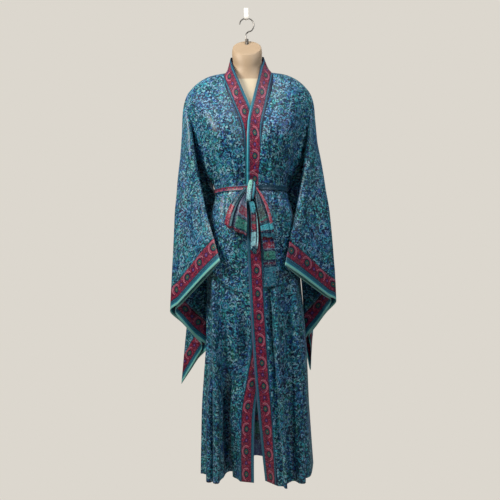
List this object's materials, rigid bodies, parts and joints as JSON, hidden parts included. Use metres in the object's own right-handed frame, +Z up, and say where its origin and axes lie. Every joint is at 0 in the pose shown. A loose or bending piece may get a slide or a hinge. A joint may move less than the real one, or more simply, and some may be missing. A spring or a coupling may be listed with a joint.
{
  "type": "kimono robe on a hanging torso form",
  "caption": "Long wide-sleeved robe in patterned satin with contrasting border bands and a sash tied in a bow, on a limbless torso form hung from a rail hook.",
  "frame": {"origin": "inside top of the rail hook's upper bend, where it bears on the picture rail, midway across the strip", "axes": "+Z up, the robe's front faces -Y, +X to the wearer's left"},
  "size_m": [0.5679, 0.3101, 1.5859],
  "materials": {
    "patterned_satin": "soft satin with a small all-over leaf and paisley print in blues and greens",
    "border_satin": "soft satin with flower roundels and scrolls on crimson, edged in teal and mint",
    "form_plastic": "smooth matt moulded plastic, cream chest and tan neck",
    "steel": "plain drawn wire with a dark ferrule",
    "white_metal": "white gloss paint on flat strip"
  },
  "bodies": {
    "root": {"back": "patterned_satin", "front_right": "patterned_satin", "front_left": "patterned_satin", "sleeve_right": "patterned_satin", "sleeve_left": "patterned_satin", "cuff_band_right": "border_satin", "cuff_band_left": "border_satin", "neck_band": "border_satin", "front_band_right": "border_satin", "front_band_left": "border_satin", "belt_waist": "border_satin", "belt_knot": "border_satin", "bow_loop_right": "border_satin", "bow_loop_left": "border_satin", "belt_tail_short": "border_satin", "belt_tail_long": "border_satin", "form_torso": "form_plastic", "form_neck": "form_plastic", "hook_ferrule": "steel", "form_hook": "steel", "rail_hook": "white_metal"}
  },
  "joints": []
}
